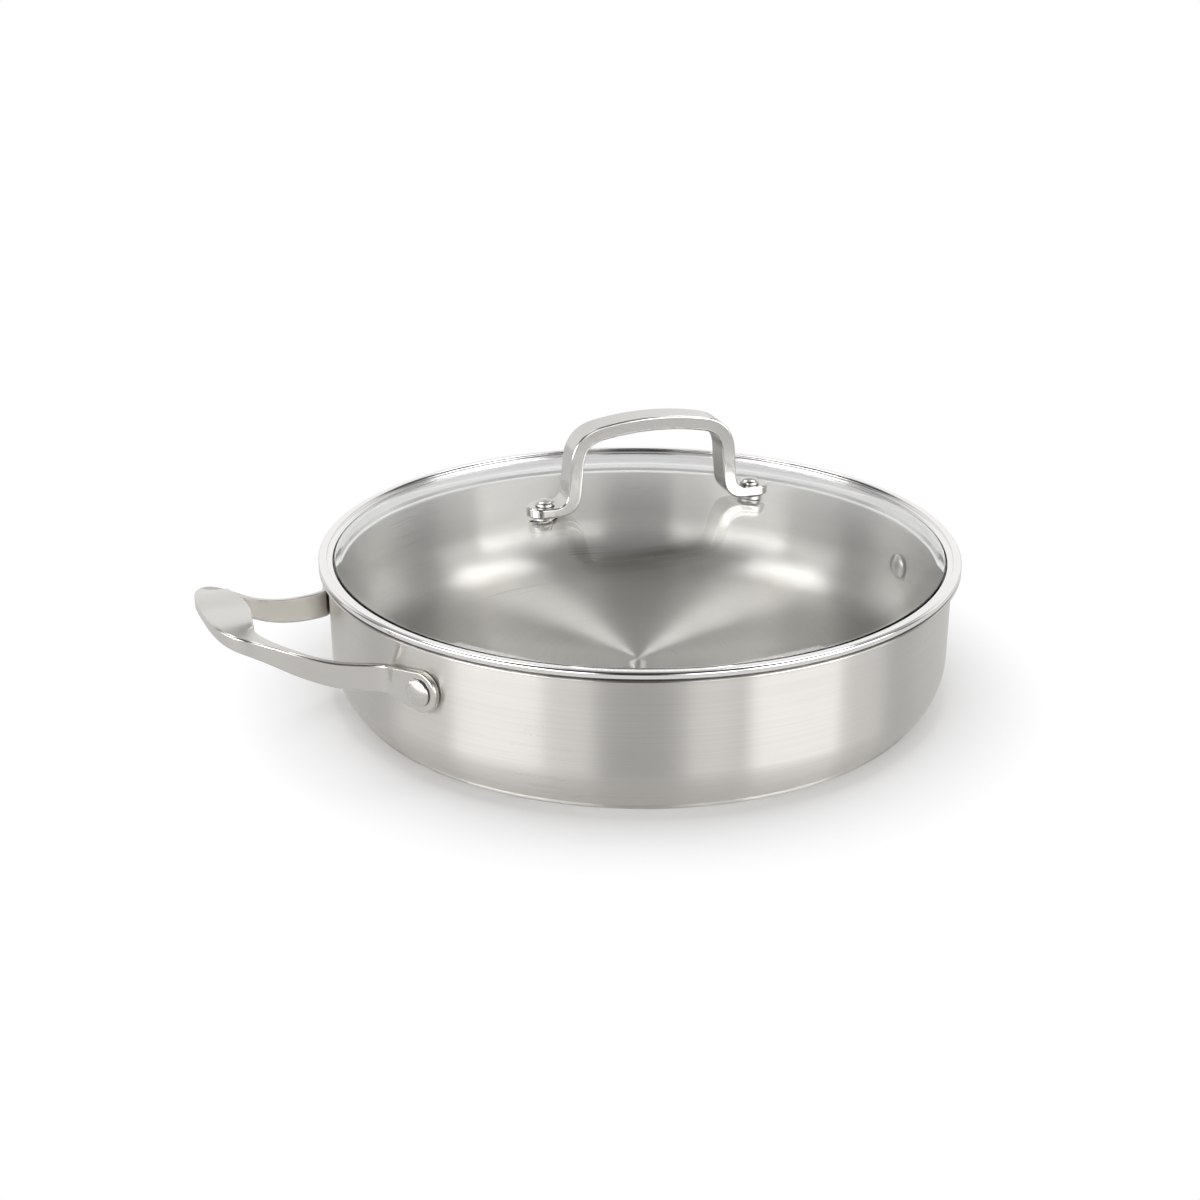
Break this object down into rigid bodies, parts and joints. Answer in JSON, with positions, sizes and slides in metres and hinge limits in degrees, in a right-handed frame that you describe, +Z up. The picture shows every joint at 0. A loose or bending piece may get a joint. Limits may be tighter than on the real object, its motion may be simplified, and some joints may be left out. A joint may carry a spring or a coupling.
{
  "type": "frying pan with lid",
  "caption": "Low straight-sided stainless steel pan with a riveted loop handle, a layered base and a lift-off domed glass lid with a steel band and an arched handle.",
  "frame": {"origin": "on the pan's axis, at the underside of the base plate, where the pan stands", "axes": "+Z up along the pan's axis, +X to the right with the loop handle towards -X, -Y towards the viewer"},
  "size_m": [0.3368, 0.292, 0.1268],
  "materials": {
    "satin_steel": "satin, with fine brush lines around the pan and along the handles",
    "polished_steel": "polished",
    "core_aluminium": "plain rolled",
    "clear_glass": "clear, smooth, toughened",
    "silicone": "pale matt silicone"
  },
  "bodies": {
    "pan": {"pan_body": "satin_steel", "heat_core": "core_aluminium", "base_plate": "satin_steel", "side_handle": "satin_steel", "side_handle_rivet_front": "polished_steel", "side_handle_rivet_rear": "polished_steel", "wall_rivet": "polished_steel"},
    "lid": {"lid_glass": "clear_glass", "lid_band": "polished_steel", "lid_seal": "silicone", "lid_handle": "satin_steel", "lid_bolt_left": "polished_steel", "lid_foot_washer_left": "polished_steel", "lid_grommet_left": "silicone", "lid_under_washer_left": "polished_steel", "lid_cap_nut_left": "polished_steel", "lid_bolt_right": "polished_steel", "lid_foot_washer_right": "polished_steel", "lid_grommet_right": "silicone", "lid_under_washer_right": "polished_steel", "lid_cap_nut_right": "polished_steel"}
  },
  "joints": [
    {"name": "lid_lift", "type": "slide", "parent": "pan", "child": "lid", "axis": [0, 0, 1], "range_m": [0, 0.15]}
  ]
}
